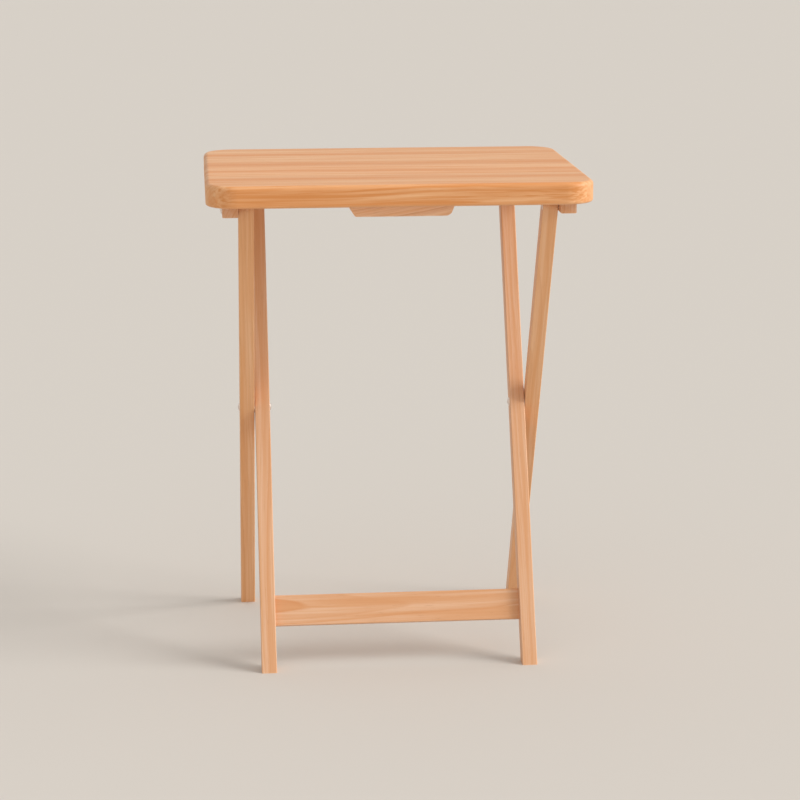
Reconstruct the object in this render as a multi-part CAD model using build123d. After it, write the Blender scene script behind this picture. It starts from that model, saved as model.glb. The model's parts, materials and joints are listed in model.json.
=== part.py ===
from build123d import *
import os
from math import atan, cos, degrees, pi, sin

# Folding tray table: a wooden top on two pairs of crossed legs that scissor about a middle pivot.
# Millimetres. X runs to the right, Y to the rear, Z up. The origin is on the floor, under the
# middle of the top. Every part on the right (+X) side has a mirrored twin on the left.

# Tabletop
TOP_WIDTH = 482.6
TOP_DEPTH = 372.0
TOP_HEIGHT = 641.0
TOP_THICKNESS = 27.4
TOP_CORNER = 38.0
TOP_ROUNDOVER = 6.0
TOP_LOWER_ROUNDOVER = 3.0

# Legs
LEG_THICKNESS = 19.6
LEG_BREADTH = 18.0
LEG_ARRIS = 1.2
INNER_LEG_FACE = 161.0
LEG_GAP = 0.7
LEG_SLOPE = 0.457
PIVOT_Y = 7.4
PIVOT_Z = 318.8
HINGE_DROP = 9.4

# Cleats under the top, which the outer legs hinge on
CLEAT_GAP = 0.4
CLEAT_WIDTH = 19.7
CLEAT_DEPTH = 16.2
CLEAT_LENGTH = 300.0
CLEAT_SCREW_PLACES = (-95.0, 10.0, 115.0)

# Stretcher low down between the inner legs
STRETCHER_HEIGHT = 40.0
STRETCHER_THICKNESS = 10.0
STRETCHER_MIDDLE = 78.0
DOWEL_RADIUS = 3.0
DOWEL_DEPTH = 14.0
DOWEL_OFFSET = 10.0

# Crossbar between the tops of the inner legs, which the top rests on
BAR_RADIUS = 8.25
TENON_RADIUS = 5.0
TENON_LENGTH = 14.0
BAR_PIN_RADIUS = 1.2
BAR_PIN_LENGTH = 11.0
BAR_PIN_DROP = 3.0

# Blocks under the front and rear edges
BLOCK_DEPTH = 20.0
BLOCK_FRONT_Y = -156.0
BLOCK_LEFT_TOP = -67.5
BLOCK_LEFT_FOOT = -57.0
BLOCK_RIGHT_TOP = 68.5
BLOCK_RIGHT_FOOT = 62.0
BLOCK_LEFT_ROUND = 4.0
BLOCK_RIGHT_ROUND = 9.0
BLOCK_SCREW_PLACES = (-36.0, 36.0)
CATCH_GAP = 0.4

# Spring clips that snap over the crossbar
CLIP_STRIP = 0.8
CLIP_WIDTH = 14.0
CLIP_X = 110.0
CLIP_TAB = 26.0
CLIP_SCREW_BACK = 19.0
CLIP_MOUTH_ANGLE = 120.0
CLIP_LIP = 3.5

# Binding posts, screws and washers
POST_RADIUS = 3.0
RUNNING_GAP = 0.05
FACE_GAP = 0.1
DOME_RADIUS = 6.0
DOME_HEIGHT = 2.3
POST_BORE_RADIUS = 2.05
POST_SCREW_RADIUS = 2.0
POST_SCREW_GRIP = 22.0
POST_SHORTFALL = 2.0
POST_BLIND_END = 4.0
RECESS_RADIUS = 6.4
LOW_HEAD_HEIGHT = 2.2
WASHER_RADIUS = 7.0
SCREW_RADIUS = 2.0
SCREW_HEAD_RADIUS = 4.0
SCREW_LENGTH = 28.0
SCREW_TIP = 4.0
CLIP_SCREW_RADIUS = 1.6
CLIP_SCREW_HEAD = 3.2
CLIP_SCREW_HEAD_HEIGHT = 2.0
CLIP_SCREW_LENGTH = 12.0
DRIVE_WIDTH = 0.9
DRIVE_DEPTH = 1.1

# Worked out from the sizes above
UNDERSIDE = TOP_HEIGHT - TOP_THICKNESS
LEAN = atan(LEG_SLOPE)
LEAN_DEGREES = degrees(LEAN)
HINGE_Z = UNDERSIDE - HINGE_DROP
HINGE_Y = PIVOT_Y - LEG_SLOPE * (HINGE_Z - PIVOT_Z)
BAR_Y = PIVOT_Y + LEG_SLOPE * (HINGE_Z - PIVOT_Z)
PIVOT_ARM = (HINGE_Z - PIVOT_Z) / cos(LEAN)
LEG_REACH = HINGE_Z / cos(LEAN)
INNER_LEG_BACK = INNER_LEG_FACE + LEG_THICKNESS
OUTER_LEG_FACE = INNER_LEG_BACK + LEG_GAP
OUTER_LEG_BACK = OUTER_LEG_FACE + LEG_THICKNESS
CLEAT_FACE = OUTER_LEG_BACK + CLEAT_GAP
CLEAT_BACK = CLEAT_FACE + CLEAT_WIDTH
CLEAT_BOTTOM = UNDERSIDE - CLEAT_DEPTH
POST_HOLE_RADIUS = POST_RADIUS + RUNNING_GAP
CATCH_FRONT_Y = BAR_Y + BAR_RADIUS + CATCH_GAP

TOWARDS_RIGHT = Rot(Y=90)
TOWARDS_LEFT = Rot(Y=-90)


def rod(radius, x_start, x_end, y=0.0, z=0.0):
    """A round bar along X between two places."""
    middle = (x_start + x_end) / 2
    return Pos(middle, y, z) * TOWARDS_RIGHT * Cylinder(radius, abs(x_end - x_start))


def dome(radius, height):
    """A shallow spherical cap that stands on the XY plane."""
    ball = (radius**2 + height**2) / (2 * height)
    cap = Pos(0, 0, height - ball) * Sphere(ball)
    return cap & Pos(0, 0, height / 2) * Box(4 * radius, 4 * radius, height)


def cross_drive(reach, depth):
    """The cutter for a cross-shaped drive that goes in from the XY plane along +Z."""
    one_way = Pos(0, 0, depth / 2) * Box(2 * reach, DRIVE_WIDTH, depth)
    other_way = Pos(0, 0, depth / 2) * Box(DRIVE_WIDTH, 2 * reach, depth)
    return one_way + other_way


def screw_blank(length):
    """The space a countersunk screw takes: its flat head on the XY plane, its tip up."""
    taper = SCREW_HEAD_RADIUS - SCREW_RADIUS
    shank = length - taper - SCREW_TIP
    head = Pos(0, 0, taper / 2) * Cone(SCREW_HEAD_RADIUS, SCREW_RADIUS, taper)
    body = Pos(0, 0, taper + shank / 2) * Cylinder(SCREW_RADIUS, shank)
    tip = Pos(0, 0, length - SCREW_TIP / 2) * Cone(SCREW_RADIUS, SCREW_RADIUS / 4, SCREW_TIP)
    return head + body + tip


def countersunk_screw():
    return screw_blank(SCREW_LENGTH) - cross_drive(SCREW_RADIUS, DRIVE_DEPTH)


def leg_blank():
    """A leg that hangs from its rounded top end at the origin, with its long edges eased."""
    length = LEG_REACH + LEG_BREADTH
    outline = Pos(0, -length / 2) * Rectangle(LEG_BREADTH, length) + Circle(LEG_BREADTH / 2)
    blank = extrude(Plane.YZ * outline, LEG_THICKNESS / 2, both=True)
    return fillet(blank.faces().filter_by(Axis.X).edges(), LEG_ARRIS)


def above_floor(solid):
    """The part of a leaning leg that is left when its foot is sawn level with the floor."""
    below = Pos(0, 0, -TOP_HEIGHT / 2) * Box(2 * TOP_WIDTH, 4 * TOP_DEPTH, TOP_HEIGHT)
    return solid - below


def inner_leg_place():
    """The frame of the inner legs: origin on the crossbar, Z up along the leg, Y to its rear."""
    return Pos(0, BAR_Y, HINGE_Z) * Rot(X=-LEAN_DEGREES)


def outer_leg_place():
    """The frame of the outer legs: origin on the hinge under the top, Z up along the leg."""
    return Pos(0, HINGE_Y, HINGE_Z) * Rot(X=LEAN_DEGREES)


def stretcher_height_on_leg():
    return STRETCHER_MIDDLE - LEG_REACH


def stretcher_depth_on_leg():
    return (LEG_BREADTH - STRETCHER_THICKNESS) / 2


def make_dowels():
    """Four blind dowels that join the stretcher to the inner legs."""
    dowels = []
    for side in (-1, 1):
        for step in (-1, 1):
            height = stretcher_height_on_leg() + step * DOWEL_OFFSET
            dowels.append(
                rod(
                    DOWEL_RADIUS,
                    side * (INNER_LEG_FACE - DOWEL_DEPTH),
                    side * (INNER_LEG_FACE + DOWEL_DEPTH),
                    stretcher_depth_on_leg(),
                    height,
                )
            )
    return [inner_leg_place() * dowel for dowel in dowels]


def make_bar_pins():
    """Two headless nails through the rear of the inner legs that lock the crossbar's tenons."""
    pins = []
    for side in (-1, 1):
        x = side * (INNER_LEG_FACE + TENON_LENGTH / 2)
        y = (LEG_BREADTH - BAR_PIN_LENGTH) / 2
        pin = Pos(x, y, -BAR_PIN_DROP) * Rot(X=90) * Cylinder(BAR_PIN_RADIUS, BAR_PIN_LENGTH)
        pins.append(inner_leg_place() * pin)
    return pins


def make_crossbar(pins):
    bar = rod(BAR_RADIUS, -INNER_LEG_FACE, INNER_LEG_FACE)
    reach = INNER_LEG_FACE + TENON_LENGTH
    bar += rod(TENON_RADIUS, -reach, reach)
    bar = Pos(0, BAR_Y, HINGE_Z) * bar
    for pin in pins:
        bar -= pin
    return bar


def make_inner_leg(dowels, pins):
    middle = INNER_LEG_FACE + LEG_THICKNESS / 2
    leg = above_floor(inner_leg_place() * Pos(middle, 0, 0) * leg_blank())
    leg -= rod(POST_HOLE_RADIUS, INNER_LEG_FACE - 1, INNER_LEG_BACK + 1, PIVOT_Y, PIVOT_Z)
    leg -= rod(TENON_RADIUS, INNER_LEG_FACE - 1, INNER_LEG_FACE + TENON_LENGTH, BAR_Y, HINGE_Z)
    for peg in dowels + pins:
        leg -= peg
    return leg


def make_outer_leg():
    middle = OUTER_LEG_FACE + LEG_THICKNESS / 2
    leg = above_floor(outer_leg_place() * Pos(middle, 0, 0) * leg_blank())
    leg -= rod(POST_HOLE_RADIUS, OUTER_LEG_FACE - 1, OUTER_LEG_BACK + 1, PIVOT_Y, PIVOT_Z)
    leg -= rod(POST_HOLE_RADIUS, OUTER_LEG_FACE - 1, OUTER_LEG_BACK + 1, HINGE_Y, HINGE_Z)
    recess_floor = OUTER_LEG_FACE + LOW_HEAD_HEIGHT + 3 * FACE_GAP
    leg -= rod(RECESS_RADIUS, OUTER_LEG_FACE - 1, recess_floor, HINGE_Y, HINGE_Z)
    return leg


def make_stretcher(dowels):
    bar = Box(2 * INNER_LEG_FACE, STRETCHER_THICKNESS, STRETCHER_HEIGHT)
    bar = fillet(bar.edges().filter_by(Axis.X), LEG_ARRIS)
    bar = inner_leg_place() * Pos(0, stretcher_depth_on_leg(), stretcher_height_on_leg()) * bar
    for dowel in dowels:
        bar -= dowel
    return bar


def block_blank():
    """The shaped block under an edge of the top, its front on the XZ plane, its top at Z 0."""
    outline = make_face(
        Polyline(
            (BLOCK_LEFT_TOP, 0),
            (BLOCK_LEFT_FOOT, -CLEAT_DEPTH),
            (BLOCK_RIGHT_FOOT, -CLEAT_DEPTH),
            (BLOCK_RIGHT_TOP, 0),
            close=True,
        )
    )
    corners = outline.vertices().group_by(Axis.Y)[0].sort_by(Axis.X)
    outline = fillet(corners[0], BLOCK_LEFT_ROUND)
    corners = outline.vertices().sort_by(Axis.X)
    foot_corner = [v for v in corners if abs(v.X - BLOCK_RIGHT_FOOT) < 1 and v.Y < -CLEAT_DEPTH / 2]
    outline = fillet(foot_corner, BLOCK_RIGHT_ROUND)
    blank = extrude(Plane.XZ * outline, -BLOCK_DEPTH)
    front_edges = blank.faces().sort_by(Axis.Y)[0].edges()
    back_edges = blank.faces().sort_by(Axis.Y)[-1].edges()
    eased = [edge for edge in front_edges + back_edges if edge.center().Z < -1]
    return fillet(eased, LEG_ARRIS)


def make_block_screws(y):
    return [Pos(x, y, CLEAT_BOTTOM) * countersunk_screw() for x in BLOCK_SCREW_PLACES]


def block_screw_space(y):
    return [Pos(x, y, CLEAT_BOTTOM) * screw_blank(SCREW_LENGTH) for x in BLOCK_SCREW_PLACES]


def cleat_screw_places():
    return [((CLEAT_FACE + CLEAT_BACK) / 2, y) for y in CLEAT_SCREW_PLACES]


def make_cleat_screws():
    return [Pos(x, y, CLEAT_BOTTOM) * countersunk_screw() for x, y in cleat_screw_places()]


def cleat_screw_space():
    return [Pos(x, y, CLEAT_BOTTOM) * screw_blank(SCREW_LENGTH) for x, y in cleat_screw_places()]


def make_cleat():
    cleat = Box(CLEAT_WIDTH, CLEAT_LENGTH, CLEAT_DEPTH)
    eased = cleat.edges().filter_by(Axis.Y).group_by(Axis.Z)[0]
    cleat = fillet(eased, LEG_ARRIS)
    cleat = Pos((CLEAT_FACE + CLEAT_BACK) / 2, 0, UNDERSIDE - CLEAT_DEPTH / 2) * cleat
    cleat -= rod(POST_HOLE_RADIUS, CLEAT_FACE - 1, CLEAT_BACK + 1, HINGE_Y, HINGE_Z)
    for space in cleat_screw_space():
        cleat -= space
    return cleat


def make_clip():
    """A strip bent into a C that opens downwards, with a tab that lies under the top."""
    outside = HINGE_DROP
    inside = outside - CLIP_STRIP
    middle = (outside + inside) / 2
    mouth = CLIP_MOUTH_ANGLE / 2 * pi / 180
    far = 3 * outside
    wedge = make_face(
        Polyline(
            (0, 0),
            (-far * sin(mouth), -far * cos(mouth)),
            (far * sin(mouth), -far * cos(mouth)),
            close=True,
        )
    )
    outline = Circle(outside) - Circle(inside) - wedge
    for side in (-1, 1):
        end = Pos(side * middle * sin(mouth), -middle * cos(mouth))
        lip = Pos(0, -CLIP_LIP / 2) * Rectangle(CLIP_STRIP, CLIP_LIP + CLIP_STRIP)
        outline += end * Rot(Z=side * CLIP_MOUTH_ANGLE / 4) * lip
    outline += Pos(CLIP_TAB / 2, middle) * Rectangle(CLIP_TAB, CLIP_STRIP)
    strip = extrude(Plane.YZ * outline, CLIP_WIDTH / 2, both=True)
    tab_corners = strip.edges().filter_by(Axis.Z).group_by(Axis.Y)[-1]
    strip = fillet(tab_corners, CLIP_WIDTH / 4)
    strip = Pos(CLIP_X, BAR_Y, HINGE_Z) * strip
    hole = Pos(CLIP_X, BAR_Y + CLIP_SCREW_BACK, UNDERSIDE) * Cylinder(CLIP_SCREW_RADIUS, 4 * CLIP_STRIP)
    return strip - hole


def clip_screw_blank():
    """A small pan-head screw: the underside of its head at Z 0, its tip up."""
    shank = CLIP_SCREW_LENGTH - CLIP_SCREW_RADIUS
    body = Pos(0, 0, shank / 2) * Cylinder(CLIP_SCREW_RADIUS, shank)
    tip = Pos(0, 0, shank + CLIP_SCREW_RADIUS / 2)
    tip = tip * Cone(CLIP_SCREW_RADIUS, CLIP_SCREW_RADIUS / 4, CLIP_SCREW_RADIUS)
    head = Rot(X=180) * dome(CLIP_SCREW_HEAD, CLIP_SCREW_HEAD_HEIGHT)
    return body + tip + head


def make_clip_screws():
    screws = []
    for side in (-1, 1):
        place = Pos(side * CLIP_X, BAR_Y + CLIP_SCREW_BACK, UNDERSIDE - CLIP_STRIP)
        drive = Pos(0, 0, -CLIP_SCREW_HEAD_HEIGHT) * cross_drive(CLIP_SCREW_RADIUS, DRIVE_DEPTH)
        screws.append(place * (clip_screw_blank() - drive))
    return screws


def clip_screw_space():
    places = [Pos(side * CLIP_X, BAR_Y + CLIP_SCREW_BACK, UNDERSIDE - CLIP_STRIP) for side in (-1, 1)]
    return [place * clip_screw_blank() for place in places]


def make_tabletop():
    board = extrude(RectangleRounded(TOP_WIDTH, TOP_DEPTH, TOP_CORNER), TOP_THICKNESS)
    board = fillet(board.faces().sort_by(Axis.Z)[-1].edges(), TOP_ROUNDOVER)
    board = fillet(board.faces().sort_by(Axis.Z)[0].edges(), TOP_LOWER_ROUNDOVER)
    board = Pos(0, 0, UNDERSIDE) * board
    spaces = cleat_screw_space() + [mirrored(space) for space in cleat_screw_space()]
    spaces += block_screw_space(BLOCK_FRONT_Y + BLOCK_DEPTH / 2)
    spaces += block_screw_space(CATCH_FRONT_Y + BLOCK_DEPTH / 2)
    spaces += clip_screw_space()
    for space in spaces:
        board -= space
    return board


def make_front_block():
    block = Pos(0, BLOCK_FRONT_Y, UNDERSIDE) * block_blank()
    for space in block_screw_space(BLOCK_FRONT_Y + BLOCK_DEPTH / 2):
        block -= space
    return block


def make_catch_block():
    block = Pos(0, CATCH_FRONT_Y + BLOCK_DEPTH, UNDERSIDE) * Rot(Z=180) * block_blank()
    for space in block_screw_space(CATCH_FRONT_Y + BLOCK_DEPTH / 2):
        block -= space
    return block


def binding_post(head_x, end_x, y, z):
    """A domed head on its right with a hollow sleeve that reaches left to end_x."""
    post = Pos(head_x, y, z) * TOWARDS_RIGHT * dome(DOME_RADIUS, DOME_HEIGHT)
    post += rod(POST_RADIUS, end_x, head_x, y, z)
    post -= rod(POST_BORE_RADIUS, end_x - 1, head_x - POST_BLIND_END, y, z)
    return post


def post_screw(head_x, head, y, z):
    """A machine screw from the left whose head's underside is at head_x."""
    screw = Pos(head_x, y, z) * TOWARDS_LEFT * head
    return screw + rod(POST_SCREW_RADIUS, head_x, head_x + POST_SCREW_GRIP, y, z)


def make_pivot_post():
    return binding_post(OUTER_LEG_BACK, INNER_LEG_FACE + POST_SHORTFALL, PIVOT_Y, PIVOT_Z)


def make_pivot_screw():
    drive = Pos(0, 0, DOME_HEIGHT - DRIVE_DEPTH) * cross_drive(POST_SCREW_RADIUS, DRIVE_DEPTH)
    head = dome(DOME_RADIUS, DOME_HEIGHT) - drive
    return post_screw(INNER_LEG_FACE - FACE_GAP, head, PIVOT_Y, PIVOT_Z)


def make_hinge_post():
    end = OUTER_LEG_FACE + LOW_HEAD_HEIGHT + 3 * FACE_GAP + POST_SHORTFALL
    return binding_post(CLEAT_BACK + FACE_GAP, end, HINGE_Y, HINGE_Z)


def make_hinge_screw():
    drive = Pos(0, 0, LOW_HEAD_HEIGHT - DRIVE_DEPTH) * cross_drive(POST_SCREW_RADIUS, DRIVE_DEPTH)
    head = Pos(0, 0, LOW_HEAD_HEIGHT / 2) * Cylinder(DOME_RADIUS, LOW_HEAD_HEIGHT)
    head_x = OUTER_LEG_FACE + LOW_HEAD_HEIGHT + 2 * FACE_GAP
    return post_screw(head_x, head - drive, HINGE_Y, HINGE_Z)


def washer(x_start, gap, y, z):
    """A thin ring that fills a gap between two pieces, but for a hair on each side."""
    hair = RUNNING_GAP
    ring = rod(WASHER_RADIUS, x_start + hair, x_start + gap - hair, y, z)
    return ring - rod(POST_HOLE_RADIUS, x_start, x_start + gap, y, z)


def mirrored(solid):
    return mirror(solid, about=Plane.YZ)


def main():
    parts = {}
    dowels = make_dowels()
    bar_pins = make_bar_pins()

    parts["tabletop"] = make_tabletop()
    parts["front_block"] = make_front_block()
    parts["catch_block"] = make_catch_block()
    parts["front_block_screws"] = Compound(make_block_screws(BLOCK_FRONT_Y + BLOCK_DEPTH / 2))
    parts["catch_block_screws"] = Compound(make_block_screws(CATCH_FRONT_Y + BLOCK_DEPTH / 2))
    parts["clip_screws"] = Compound(make_clip_screws())
    parts["stretcher"] = make_stretcher(dowels)
    parts["stretcher_dowels"] = Compound(dowels)
    parts["crossbar"] = make_crossbar(bar_pins)
    parts["crossbar_pins"] = Compound(bar_pins)

    right_hand = {
        "cleat": make_cleat(),
        "clip": make_clip(),
        "outer_leg": make_outer_leg(),
        "inner_leg": make_inner_leg(dowels, bar_pins),
        "pivot_post": make_pivot_post(),
        "pivot_screw": make_pivot_screw(),
        "pivot_washer": washer(INNER_LEG_BACK, LEG_GAP, PIVOT_Y, PIVOT_Z),
        "hinge_post": make_hinge_post(),
        "hinge_screw": make_hinge_screw(),
        "hinge_washer": washer(OUTER_LEG_BACK, CLEAT_GAP, HINGE_Y, HINGE_Z),
    }
    for name, piece in right_hand.items():
        parts[f"{name}_right"] = piece
        parts[f"{name}_left"] = mirrored(piece)
    screws = make_cleat_screws()
    parts["cleat_screws_right"] = Compound(screws)
    parts["cleat_screws_left"] = Compound([mirrored(screw) for screw in screws])

    os.makedirs("parts", exist_ok=True)
    for name, piece in parts.items():
        export_step(piece, f"parts/{name}.step")
    print(f"{len(parts)} nodes")
    print(f"hinge at Y {HINGE_Y:.2f} Z {HINGE_Z:.2f}, crossbar at Y {BAR_Y:.2f}, lean {LEAN_DEGREES:.3f}")
    print(f"pivot to hinge {PIVOT_ARM:.2f}")


main()
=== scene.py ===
import json
import math
import bpy
from mathutils import Matrix, Vector


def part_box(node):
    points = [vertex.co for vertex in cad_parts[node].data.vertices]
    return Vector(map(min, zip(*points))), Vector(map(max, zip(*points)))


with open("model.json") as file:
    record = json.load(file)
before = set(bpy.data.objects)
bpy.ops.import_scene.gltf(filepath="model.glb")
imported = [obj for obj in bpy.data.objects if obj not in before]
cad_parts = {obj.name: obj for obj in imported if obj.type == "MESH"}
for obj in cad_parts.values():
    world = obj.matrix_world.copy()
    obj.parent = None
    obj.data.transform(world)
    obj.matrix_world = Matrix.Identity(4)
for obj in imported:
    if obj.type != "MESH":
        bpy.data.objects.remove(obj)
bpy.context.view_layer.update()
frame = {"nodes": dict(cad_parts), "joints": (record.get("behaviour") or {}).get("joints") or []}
nodes = frame["nodes"]

# Camera, in the table's own frame
CAMERA_PLACE = (-0.2516, -2.8896, 1.0245)
CAMERA_PITCH_DOWN = 13.54
CAMERA_TURN_RIGHT = 5.23
CAMERA_LENS = 100.5

# How the legs lean, from the joints: the middle pivot and the hinge under the top lie on an outer leg
joints = {joint["name"]: joint for joint in frame["joints"]}
pivot_point = Vector(joints["leg_fold"]["pos_m"])
hinge_point = Vector(joints["top_lift"]["pos_m"])
OUTER_LEG_WAY = (hinge_point - pivot_point).normalized()
INNER_LEG_WAY = Vector((0, -OUTER_LEG_WAY.y, OUTER_LEG_WAY.z))
ALONG_X = Vector((1, 0, 0))
ALONG_Y = Vector((0, 1, 0))
ALONG_Z = Vector((0, 0, 1))


def middle(node):
    low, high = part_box(node)
    return (low + high) / 2


# ---------------------------------------------------------------- node helpers


class Recipe:
    """A material under construction, with short calls for the nodes it is made of."""

    def __init__(self, name):
        self.material = bpy.data.materials.new(name)
        self.material.use_nodes = True
        self.tree = self.material.node_tree
        self.shader = self.tree.nodes["Principled BSDF"]
        self.coordinates = self.tree.nodes.new("ShaderNodeTexCoord")

    def feed(self, socket, value):
        if isinstance(value, bpy.types.NodeSocket):
            self.tree.links.new(value, socket)
        else:
            socket.default_value = value

    def math(self, operation, first, second=0.0, third=0.0):
        node = self.tree.nodes.new("ShaderNodeMath")
        node.operation = operation
        self.feed(node.inputs[0], first)
        self.feed(node.inputs[1], second)
        self.feed(node.inputs[2], third)
        return node.outputs[0]

    def vector(self, operation, first, second=(0, 0, 0)):
        node = self.tree.nodes.new("ShaderNodeVectorMath")
        node.operation = operation
        self.feed(node.inputs[0], first)
        self.feed(node.inputs[1], second)
        return node.outputs["Value" if operation in ("LENGTH", "DOT_PRODUCT") else "Vector"]

    def noise(self, vector, scale, detail=2.0, roughness=0.5, distortion=0.0):
        node = self.tree.nodes.new("ShaderNodeTexNoise")
        self.feed(node.inputs["Vector"], vector)
        self.feed(node.inputs["Scale"], scale)
        self.feed(node.inputs["Detail"], detail)
        self.feed(node.inputs["Roughness"], roughness)
        self.feed(node.inputs["Distortion"], distortion)
        return node

    def ramp(self, value, *stops):
        """A curve through (position, level) stops."""
        node = self.tree.nodes.new("ShaderNodeValToRGB")
        elements = node.color_ramp.elements
        while len(elements) < len(stops):
            elements.new(0.5)
        for element, (position, level) in zip(elements, stops):
            element.position = position
            element.color = (level, level, level, 1)
        self.feed(node.inputs["Fac"], value)
        return node.outputs["Color"]

    def blend(self, amount, first, second, way="MIX"):
        node = self.tree.nodes.new("ShaderNodeMix")
        node.data_type = "RGBA"
        node.blend_type = way
        self.feed(node.inputs[0], amount)
        self.feed(node.inputs[6], first)
        self.feed(node.inputs[7], second)
        return node.outputs[2]

    def split(self, vector):
        node = self.tree.nodes.new("ShaderNodeSeparateXYZ")
        self.feed(node.inputs[0], vector)
        return node.outputs

    def join(self, x, y, z):
        node = self.tree.nodes.new("ShaderNodeCombineXYZ")
        for socket, value in zip(node.inputs, (x, y, z)):
            self.feed(socket, value)
        return node.outputs[0]

    def laid_along(self, way, across, centre):
        """Object coordinates turned so that X runs along way and Z along across, from centre."""
        along = way.normalized()
        side = across.normalized().cross(along)
        turn = Matrix((along, side, along.cross(side)))
        node = self.tree.nodes.new("ShaderNodeMapping")
        node.inputs["Rotation"].default_value = turn.to_euler("XYZ")
        node.inputs["Location"].default_value = -(turn @ centre)
        self.feed(node.inputs["Vector"], self.coordinates.outputs["Object"])
        return node.outputs[0]

    def edges(self, radius):
        """0 on flats and towards 1 on outside edges and corners."""
        bevel = self.tree.nodes.new("ShaderNodeBevel")
        bevel.samples = 4
        bevel.inputs["Radius"].default_value = radius
        plain = self.tree.nodes.new("ShaderNodeNewGeometry")
        alike = self.vector("DOT_PRODUCT", bevel.outputs[0], plain.outputs["Normal"])
        return self.ramp(alike, (0.70, 1.0), (0.99, 0.0))

    def bump(self, height, strength, distance):
        node = self.tree.nodes.new("ShaderNodeBump")
        self.feed(node.inputs["Strength"], strength)
        self.feed(node.inputs["Distance"], distance)
        self.feed(node.inputs["Height"], height)
        self.tree.links.new(node.outputs[0], self.shader.inputs["Normal"])

    def set(self, **values):
        for name, value in values.items():
            self.feed(self.shader.inputs[name.replace("_", " ")], value)


# ---------------------------------------------------------------- wood

# Lacquered pine: pale early wood, warm broad bands, amber growth lines, dark resin, and paler edges
# that are a painted highlight along the arrises
TOP_TONES = {
    "pale": (0.82, 0.49, 0.265, 1),
    "warm": (0.69, 0.265, 0.075, 1),
    "line": (0.64, 0.255, 0.075, 1),
    "deep": (0.44, 0.16, 0.05, 1),
    "painted_edge_highlight": (0.90, 0.64, 0.42, 1),
}
LEG_TONES = {
    "pale": (0.745, 0.47, 0.305, 1),
    "warm": (0.67, 0.34, 0.165, 1),
    "line": (0.62, 0.27, 0.10, 1),
    "deep": (0.42, 0.17, 0.06, 1),
    "painted_edge_highlight": (0.90, 0.62, 0.42, 1),
}
# Outer legs: the leg pine made lighter and more orange, a painted warm bounce light in their shade
OUTER_LEG_BOUNCE_TINTED_TONES = {
    "pale": (0.81, 0.49, 0.285, 1),
    "warm": (0.73, 0.36, 0.155, 1),
    "line": (0.63, 0.27, 0.095, 1),
    "deep": (0.42, 0.17, 0.06, 1),
    "painted_edge_highlight": (0.92, 0.64, 0.43, 1),
}
# Blocks under the top: paler tones, partly painted light bounced up from the floor; the strong growth
# lines are their real grain
BLOCK_BOUNCE_LIT_TONES = {
    "pale": (0.95, 0.66, 0.45, 1),
    "warm": (0.86, 0.49, 0.26, 1),
    "line": (0.62, 0.26, 0.09, 1),
    "deep": (0.42, 0.17, 0.06, 1),
    "painted_edge_highlight": (0.92, 0.68, 0.48, 1),
}
BEECH_TONES = {
    "pale": (0.62, 0.42, 0.26, 1),
    "warm": (0.54, 0.34, 0.19, 1),
    "line": (0.38, 0.20, 0.10, 1),
    "deep": (0.30, 0.15, 0.07, 1),
    "painted_edge_highlight": (0.70, 0.50, 0.34, 1),
}

# How fine each layer of the grain is: patches per metre along the grain, then across it twice
WAVE_SCALE = (2.2, 9.0, 9.0)
CLOUD_SCALE = (3.0, 16.0, 16.0)
STREAK_SCALE = (3.0, 260.0, 260.0)
FIBRE_SCALE = (16.0, 1400.0, 1400.0)
CANAL_SCALE = (60.0, 1700.0, 1700.0)
FADING_SCALE = (5.0, 60.0, 60.0)
BAND_SCALE_ALONG = 0.9

GRAIN_WANDER = 0.022
PITH_SLOPE = 0.018
RING_UNEVENNESS = 2.4
# widths of the paler edges, a painted highlight along the arrises
LEG_EDGE_HIGHLIGHT_WIDTH = 0.0014
TOP_EDGE_HIGHLIGHT_WIDTH = 0.005
STAVE_WIDTH = 0.088

# Heart streaks in each stave of the top: seed, half width in metres, strength
HEART_STREAKS = ((11.0, 0.017, 1.0), (17.0, 0.008, 0.8))
HEART_SLANT = 0.9

# Satin lacquer
LACQUER_ROUGHNESS = 0.38
FIBRE_ROUGHNESS = 0.16
END_GRAIN_ROUGHNESS = 0.15
LINE_ROUGHNESS = -0.06
GRAIN_RELIEF = 0.00014


def random_of(made, value, seed):
    """A steady random number from 0 to 1 for each whole number."""
    node = made.tree.nodes.new("ShaderNodeTexWhiteNoise")
    node.noise_dimensions = "1D"
    made.feed(node.inputs["W"], made.math("ADD", value, seed))
    return node.outputs["Value"]


def growth_lines(made, place, pith_side, pith_depth, ring):
    """Amber lines where the rings round a pith, off the piece, are cut by its faces."""
    x, y, z = made.split(place)
    off_side = made.math("SUBTRACT", y, pith_side)
    # the pith runs at a slight slope to the board, which closes some lines into long points
    off_depth = made.math("ADD", made.math("MULTIPLY_ADD", x, PITH_SLOPE, z), pith_depth)
    radius = made.vector("LENGTH", made.join(0.0, off_side, off_depth))
    rings = made.math("DIVIDE", radius, ring)
    unevenness = made.noise(made.join(0.0, 0.0, rings), 0.5, detail=2.0).outputs["Fac"]
    rings = made.math("MULTIPLY_ADD", unevenness, RING_UNEVENNESS, rings)
    season = made.math("FRACT", rings)
    band = made.ramp(season, (0.0, 0.05), (0.30, 0.08), (0.78, 0.65), (0.92, 1.0), (1.0, 0.05))
    year = random_of(made, made.math("FLOOR", rings), 7.0)
    return made.math("MULTIPLY", band, made.ramp(year, (0.0, 0.25), (0.6, 0.55), (1.0, 1.0)))


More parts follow.
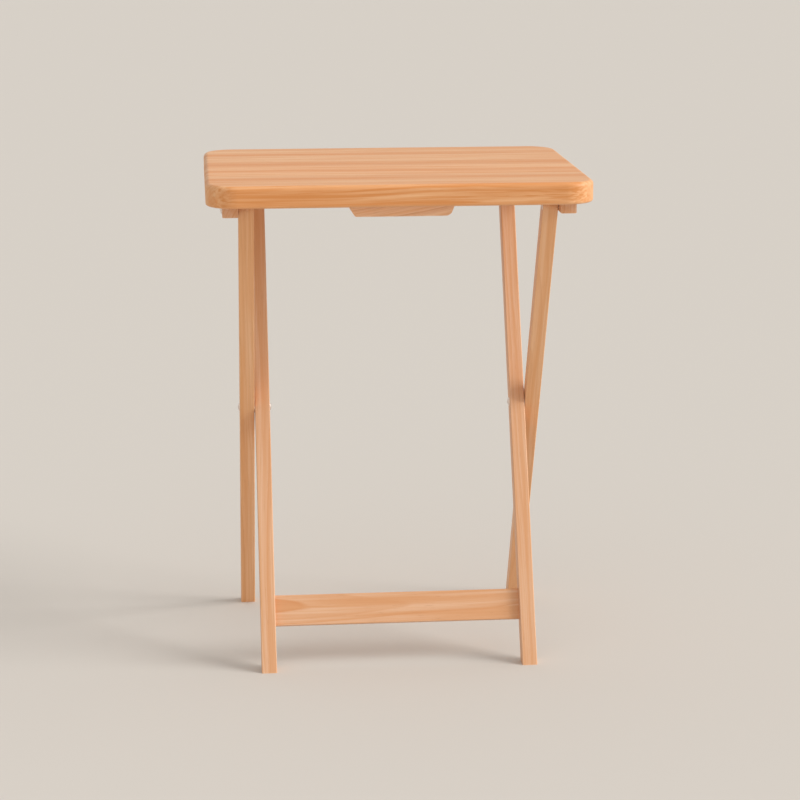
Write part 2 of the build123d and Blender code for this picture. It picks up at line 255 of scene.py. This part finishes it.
def heart_streak(made, place, stave, stave_middle, board, seed, width):
    """A long warm streak that slants through the thickness of each stave."""
    _, y, z = made.split(place)
    offset = made.math("SUBTRACT", random_of(made, stave, seed), 0.5)
    centre = made.math("MULTIPLY_ADD", offset, 0.75 * board, stave_middle)
    layer = made.math("MULTIPLY_ADD", z, HEART_SLANT, made.math("SUBTRACT", y, centre))
    away = made.math("DIVIDE", made.math("ABSOLUTE", layer), width)
    fading_place = made.vector("MULTIPLY", place, FADING_SCALE)
    fading = made.noise(fading_place, 1.0, detail=2.0).outputs["Fac"]
    fading = made.ramp(fading, (0.25, 0.45), (0.60, 1.0))
    return made.math("MULTIPLY", made.ramp(away, (0.15, 1.0), (1.0, 0.0)), fading)


def pine(name, node, way, across, pith, ring, tones,
         lines=0.85, bands=0.5, band_width=0.030, board=0.0, edge_highlight_width=LEG_EDGE_HIGHLIGHT_WIDTH):
    """Lacquered wood with its grain along way and its pith towards across, pith metres away.

    ring is the spacing of the growth lines, lines and bands how strongly the lines and the broad
    warm bands show, band_width the width of those bands, board the width of the glued staves, 0
    for a single piece, and the last argument the width of the paler edges, a painted highlight
    along the arrises. Lengths are in metres."""
    made = Recipe(name)
    place = made.laid_along(way, across, middle(node))
    pith_side = 0.25 * pith
    pith_depth = pith
    if board:
        x, y, z = made.split(place)
        stave = made.math("FLOOR", made.math("DIVIDE", y, board))
        chance = random_of(made, stave, 0.0)
        place = made.join(made.math("MULTIPLY_ADD", chance, 0.9, x), y, z)
        stave_middle = made.math("MULTIPLY", made.math("ADD", stave, 0.5), board)
        pith_side = made.math("MULTIPLY_ADD", random_of(made, stave, 3.0), 1.6 * board, stave_middle)
        pith_side = made.math("ADD", pith_side, -0.8 * board)
        pith_depth = made.math("MULTIPLY_ADD", random_of(made, stave, 5.0), pith, 0.6 * pith)

    # slow waves carry the grain off straight, much less along it than across it
    wave_place = made.vector("MULTIPLY", place, WAVE_SCALE)
    wave = made.noise(wave_place, 1.0, detail=3.0, roughness=0.45)
    wave = made.vector("SUBTRACT", wave.outputs["Color"], (0.5, 0.5, 0.5))
    wander = made.vector("MULTIPLY", wave, (0.0, GRAIN_WANDER, GRAIN_WANDER))
    bent = made.vector("ADD", place, wander)
    line = growth_lines(made, bent, pith_side, pith_depth, ring)

    band_scale = (BAND_SCALE_ALONG, 1.0 / band_width, 1.0 / band_width)
    band_place = made.vector("MULTIPLY", bent, band_scale)
    band = made.noise(band_place, 1.0, detail=2.0, roughness=0.55).outputs["Fac"]
    band = made.ramp(band, (0.49, 0.0), (0.60, 1.0))
    if board:
        band = made.math("MULTIPLY", band, 0.5)
        for seed, width, strength in HEART_STREAKS:
            heart = heart_streak(made, bent, stave, stave_middle, board, seed, width)
            band = made.math("MAXIMUM", band, made.math("MULTIPLY", heart, strength))
    streak_place = made.vector("MULTIPLY", bent, STREAK_SCALE)
    streak = made.noise(streak_place, 1.0, detail=3.0, roughness=0.6).outputs["Fac"]
    fibre_place = made.vector("MULTIPLY", place, FIBRE_SCALE)
    fibre = made.noise(fibre_place, 1.0, detail=3.0, roughness=0.65).outputs["Fac"]
    canal_place = made.vector("MULTIPLY", place, CANAL_SCALE)
    canal = made.noise(canal_place, 1.0, detail=1.0).outputs["Fac"]
    canal = made.ramp(canal, (0.70, 0.0), (0.78, 1.0))
    cloud_place = made.vector("MULTIPLY", place, CLOUD_SCALE)
    cloud = made.noise(cloud_place, 1.0, detail=2.0).outputs["Fac"]

    facing = made.vector("DOT_PRODUCT", made.coordinates.outputs["Normal"], tuple(way.normalized()))
    end_grain = made.ramp(made.math("ABSOLUTE", facing), (0.62, 0.0), (0.93, 1.0))
    long_grain = made.math("SUBTRACT", 1.0, made.math("MULTIPLY", end_grain, 0.8))

    colour = made.blend(made.ramp(cloud, (0.38, 0.0), (0.66, 0.35)), tones["pale"], tones["warm"])
    colour = made.blend(made.math("MULTIPLY", band, bands), colour, tones["warm"])
    colour = made.blend(made.math("MULTIPLY", line, lines), colour, tones["line"])
    fine = made.math("MULTIPLY", long_grain, made.ramp(streak, (0.47, 0.0), (0.64, 0.75)))
    colour = made.blend(fine, colour, tones["warm"])
    fine = made.math("MULTIPLY", long_grain, made.ramp(fibre, (0.52, 0.0), (0.72, 0.45)))
    colour = made.blend(fine, colour, tones["line"])
    colour = made.blend(made.math("MULTIPLY", canal, 0.45), colour, tones["deep"])
    if board:
        tone = made.ramp(chance, (0.0, 0.95), (1.0, 1.04))
        colour = made.blend(1.0, colour, tone, "MULTIPLY")
        # the long edges are cut across the rings and show closer, deeper lines
        sideways = made.split(made.coordinates.outputs["Normal"])[1]
        side_face = made.ramp(made.math("ABSOLUTE", sideways), (0.60, 0.0), (0.97, 1.0))
        side_fine = made.math("MULTIPLY", side_face, made.ramp(streak, (0.36, 0.10), (0.62, 0.90)))
        side_fine = made.math("MULTIPLY", side_fine, long_grain)
        colour = made.blend(side_fine, colour, tones["line"])

    # end grain drinks the lacquer: deeper and duller, with the rings showing
    end_tone = made.math("MULTIPLY", end_grain, made.math("MULTIPLY_ADD", line, 0.55, 0.08))
    colour = made.blend(end_tone, colour, tones["line"])

    # paler edges: a painted highlight where the arrises and the top's rounding catch the light
    edge = made.edges(edge_highlight_width)
    painted_edge_highlight = made.math("MULTIPLY", edge, made.ramp(streak, (0.30, 0.45), (0.70, 0.85)))
    colour = made.blend(painted_edge_highlight, colour, tones["painted_edge_highlight"])

    rough = made.math("MULTIPLY_ADD", fibre, FIBRE_ROUGHNESS, LACQUER_ROUGHNESS)
    rough = made.math("MULTIPLY_ADD", line, LINE_ROUGHNESS, rough)
    rough = made.math("MULTIPLY_ADD", end_grain, END_GRAIN_ROUGHNESS, rough)
    made.set(Base_Color=colour, Roughness=rough)
    made.set(Coat_Weight=0.08, Coat_Roughness=0.28, Specular_IOR_Level=0.30)
    height = made.math("MULTIPLY_ADD", line, 0.6, made.math("MULTIPLY", fibre, 0.5))
    height = made.math("MULTIPLY_ADD", canal, -0.8, height)
    made.bump(height, 0.4, GRAIN_RELIEF)
    return made.material


# ---------------------------------------------------------------- metal

NICKEL_TINT = (0.92, 0.80, 0.73, 1)
ZINC_TINT = (0.62, 0.62, 0.60, 1)
SPRING_TINT = (0.48, 0.49, 0.51, 1)


def steel(name, tint, rough, turned):
    """Plated steel with fine turning or rolling lines, small stains and brighter edges."""
    made = Recipe(name)
    place = made.coordinates.outputs["Object"]
    scale = (1800.0, 220.0, 220.0) if turned else (60.0, 1600.0, 1600.0)
    lines = made.noise(made.vector("MULTIPLY", place, scale), 1.0, detail=3.0).outputs["Fac"]
    stains = made.noise(place, 350.0, detail=4.0, roughness=0.6).outputs["Fac"]
    dull = tuple(0.72 * level for level in tint[:3]) + (1,)
    colour = made.blend(made.ramp(stains, (0.35, 0.0), (0.75, 0.8)), tint, dull)
    bright = tuple(min(1.0, 1.12 * level) for level in tint[:3]) + (1,)
    colour = made.blend(made.edges(0.0005), colour, bright)
    roughness = made.math("MULTIPLY_ADD", lines, 0.18, rough)
    roughness = made.math("MULTIPLY_ADD", stains, 0.12, roughness)
    made.set(Base_Color=colour, Roughness=roughness, Metallic=1.0)
    made.bump(lines, 0.15, 0.00005)
    return made.material


# ---------------------------------------------------------------- which material goes where


def dress(material, name):
    slots = nodes[name].data.materials
    slots.clear()
    slots.append(material)


def dress_wood():
    top = pine("tabletop_pine", "tabletop", ALONG_X, -ALONG_Z, 0.07, 0.0048, TOP_TONES,
               lines=0.75, bands=0.9, band_width=0.036, board=STAVE_WIDTH, edge_highlight_width=TOP_EDGE_HIGHLIGHT_WIDTH)
    dress(top, "tabletop")
    for side, turn in (("left", -1), ("right", 1)):
        for pair, way in (("outer", OUTER_LEG_WAY), ("inner", INNER_LEG_WAY)):
            name = f"{pair}_leg_{side}"
            # each leg is cut from another part of the log
            across = Vector((turn, -0.5 * way.z, 0.5 * way.y))
            if pair == "outer":
                across = Vector((0.6, turn * way.z, -turn * way.y))
            # the outer legs take the lighter, more orange copy, a painted warm bounce light
            tones = OUTER_LEG_BOUNCE_TINTED_TONES if pair == "outer" else LEG_TONES
            leg = pine(f"{name}_pine", name, way, across, 0.06, 0.0034, tones, band_width=0.012)
            dress(leg, name)
        name = f"cleat_{side}"
        cleat_across = Vector((turn, 0, 0.25))
        cleat = pine(f"{name}_pine", name, ALONG_Y, cleat_across, 0.05, 0.0036, LEG_TONES)
        dress(cleat, name)
    slant = Vector((1, 0, 0.20))
    block_across = Vector((-0.1, 0.5, 1))
    # the blocks' paler tones are partly painted bounce light from the floor
    for name in ("front_block", "catch_block"):
        block = pine(f"{name}_pine", name, slant, block_across, 0.020, 0.0056, BLOCK_BOUNCE_LIT_TONES,
                     lines=1.0, bands=0.2)
        dress(block, name)
    stretcher_across = Vector((0, -INNER_LEG_WAY.z, INNER_LEG_WAY.y))
    stretcher = pine("stretcher_pine", "stretcher", ALONG_X, stretcher_across, 0.03, 0.0040, LEG_TONES,
                     bands=0.8, band_width=0.014)
    dress(stretcher, "stretcher")
    bar_across = Vector((0, 0.4, 1))
    crossbar = pine("crossbar_pine", "crossbar", ALONG_X, bar_across, 0.04, 0.0035, LEG_TONES)
    dress(crossbar, "crossbar")
    dowel = pine("dowel_beech", "stretcher_dowels", ALONG_X, ALONG_Z, 0.05, 0.002, BEECH_TONES,
                 lines=0.4)
    dress(dowel, "stretcher_dowels")


def dress_metal():
    nickel = steel("satin_nickel", NICKEL_TINT, 0.26, turned=True)
    zinc = steel("bright_zinc", ZINC_TINT, 0.24, turned=True)
    spring = steel("spring_strip", SPRING_TINT, 0.20, turned=False)
    for name in nodes:
        if name.startswith(("pivot_", "hinge_")):
            dress(nickel, name)
        elif name.endswith("screws") or "_screws_" in name or name == "crossbar_pins":
            dress(zinc, name)
        elif name.startswith("clip_"):
            dress(spring, name)


# ---------------------------------------------------------------- floor, light and camera

FLOOR_SIZE = 60.0
FLOOR_TONE = (0.62, 0.60, 0.575, 1)

TABLE_MIDDLE = (0, 0, 0.4)
SKY_TINT = (1.0, 0.95, 0.89, 1)
SKY_STRENGTH = 0.68
SENSOR_WIDTH = 36.0
CAMERA_REACH = 50.0


def lay_floor():
    bpy.ops.mesh.primitive_plane_add(size=FLOOR_SIZE, location=(0, 0, 0))
    floor = bpy.context.object
    floor.name = "floor"
    made = Recipe("pale_floor")
    made.set(Base_Color=FLOOR_TONE, Roughness=1.0, Specular_IOR_Level=0.0)
    floor.data.materials.append(made.material)


def point_at(lamp, place, aim):
    lamp.location = place
    lamp.rotation_mode = "QUATERNION"
    lamp.rotation_quaternion = (Vector(aim) - Vector(place)).to_track_quat("-Z", "Y")
    bpy.context.scene.collection.objects.link(lamp)


def soft_box(name, place, aim, size, power, tint):
    data = bpy.data.lights.new(name, "AREA")
    data.shape = "RECTANGLE"
    data.size, data.size_y = size
    data.energy = power
    data.color = tint
    point_at(bpy.data.objects.new(name, data), place, aim)


def wide_window(name, place, aim, spread, power, tint):
    """Daylight through a large window: even over the floor, with soft-edged shadows."""
    data = bpy.data.lights.new(name, "SUN")
    data.angle = math.radians(spread)
    data.energy = power
    data.color = tint
    point_at(bpy.data.objects.new(name, data), place, aim)


def light_studio():
    scene = bpy.context.scene
    scene.view_settings.view_transform = "Standard"
    world = bpy.data.worlds.new("studio")
    world.use_nodes = True
    world.node_tree.nodes["Background"].inputs["Color"].default_value = SKY_TINT
    world.node_tree.nodes["Background"].inputs["Strength"].default_value = SKY_STRENGTH
    scene.world = world
    wide_window("window", (3.4, -0.9, 2.3), TABLE_MIDDLE, 30, 2.1, (1.0, 0.97, 0.92))
    wide_window("side_sky", (4.0, -0.3, 1.5), TABLE_MIDDLE, 70, 1.05, (1.0, 0.98, 0.95))
    soft_box("front_fill", (-1.6, -3.4, 0.8), TABLE_MIDDLE, (2.4, 1.4), 10, (1.0, 0.90, 0.78))


def place_camera():
    data = bpy.data.cameras.new("camera")
    data.lens = CAMERA_LENS
    data.sensor_width = SENSOR_WIDTH
    data.clip_end = CAMERA_REACH
    camera = bpy.data.objects.new("camera", data)
    camera.location = CAMERA_PLACE
    camera.rotation_euler = (
        math.radians(90 - CAMERA_PITCH_DOWN),
        0,
        math.radians(-CAMERA_TURN_RIGHT),
    )
    bpy.context.scene.collection.objects.link(camera)
    bpy.context.scene.camera = camera


bpy.ops.object.select_all(action="DESELECT")
place_camera()
lay_floor()
light_studio()
dress_wood()
dress_metal()
